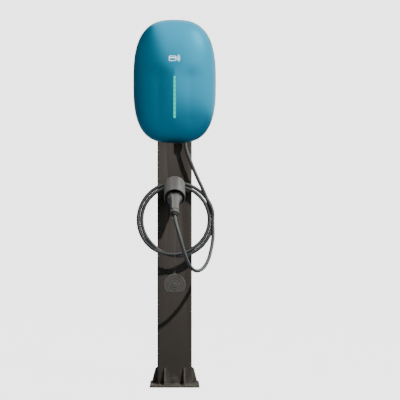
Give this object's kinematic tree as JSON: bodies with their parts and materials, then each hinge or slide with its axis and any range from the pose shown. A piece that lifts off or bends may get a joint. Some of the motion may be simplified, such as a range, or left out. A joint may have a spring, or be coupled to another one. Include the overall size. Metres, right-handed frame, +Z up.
{
  "type": "ev charging post",
  "caption": "Floor-standing charging post: steel column on a ribbed base plate, domed wall box with light bar, coiled cable, plug in a holster and a tethered dust cap.",
  "frame": {"origin": "centre of the base plate's underside, on the ground", "axes": "+Z up along the column, -Y towards the person using it, +X to that person's right"},
  "size_m": [0.284, 0.3402, 1.266],
  "materials": {
    "column_coat": "satin warm-grey powder coat",
    "zinc_steel": "zinc plated",
    "cover_teal": "satin-gloss moulded teal",
    "housing_plastic": "matt dark moulded plastic",
    "holster_plastic": "satin grey moulded plastic",
    "plug_plastic": "satin grey moulded plastic, fine grain",
    "black_plastic": "matt black",
    "seal_rubber": "matt black rubber",
    "cap_rubber": "matt dark grey rubber",
    "cable_jacket": "satin black jacket",
    "light_lens": "milky lens, lit green",
    "mark_print": "pale print",
    "circuit_board": "solder mask",
    "component_plastic": "moulded component body",
    "terminal_plastic": "grey moulded nylon",
    "silver_contact": "silver plated"
  },
  "bodies": {
    "post": {"base_plate": "column_coat", "column": "column_coat", "front_ribs": "column_coat", "rear_ribs": "column_coat", "side_ribs": "column_coat", "column_top_cap": "black_plastic", "service_cover": "column_coat", "service_cover_screws": "zinc_steel", "earth_stud": "zinc_steel", "wall_bracket": "zinc_steel", "bracket_screws": "zinc_steel", "rear_housing": "housing_plastic", "housing_screws": "zinc_steel", "housing_gasket": "seal_rubber", "front_cover": "cover_teal", "cover_screws": "zinc_steel", "light_bar": "light_lens", "card_mark": "mark_print", "main_board": "circuit_board", "board_screws": "zinc_steel", "power_relays": "component_plastic", "residual_current_sensor": "component_plastic", "supply_terminal_block": "terminal_plastic", "terminal_screws": "zinc_steel", "front_carrier": "black_plastic", "light_bar_board": "circuit_board", "card_antenna_board": "circuit_board", "supply_grommet": "seal_rubber", "cable_gland": "black_plastic", "gland_nut": "black_plastic", "holster_mount": "holster_plastic", "holster_cup": "holster_plastic", "holster_insert": "black_plastic", "holster_cup_screws": "zinc_steel", "holster_screws": "zinc_steel", "plug_nose": "black_plastic", "plug_contacts": "silver_contact", "plug_shell_right": "plug_plastic", "plug_shell_left": "plug_plastic", "plug_screws": "zinc_steel", "plug_collar": "plug_plastic", "plug_boot": "seal_rubber", "tether_band": "plug_plastic", "cable_lead_in": "cable_jacket", "cable_coil": "cable_jacket", "cable_tail": "cable_jacket"},
    "tether": {"tether_link": "zinc_steel"},
    "cap": {"lanyard_eye": "zinc_steel", "cap_lanyard": "cap_rubber", "dust_cap": "cap_rubber"}
  },
  "joints": [
    {"name": "tether_fore_aft", "type": "hinge", "parent": "post", "child": "tether", "pos_m": [0, -0.19363, 0.59107], "axis": [1, 0, 0], "range_deg": [-18, 30]},
    {"name": "tether_sideways", "type": "hinge", "parent": "tether", "child": "cap", "pos_m": [0, -0.19363, 0.58507], "axis": [0, 1, 0], "range_deg": [-8, 40]}
  ]
}
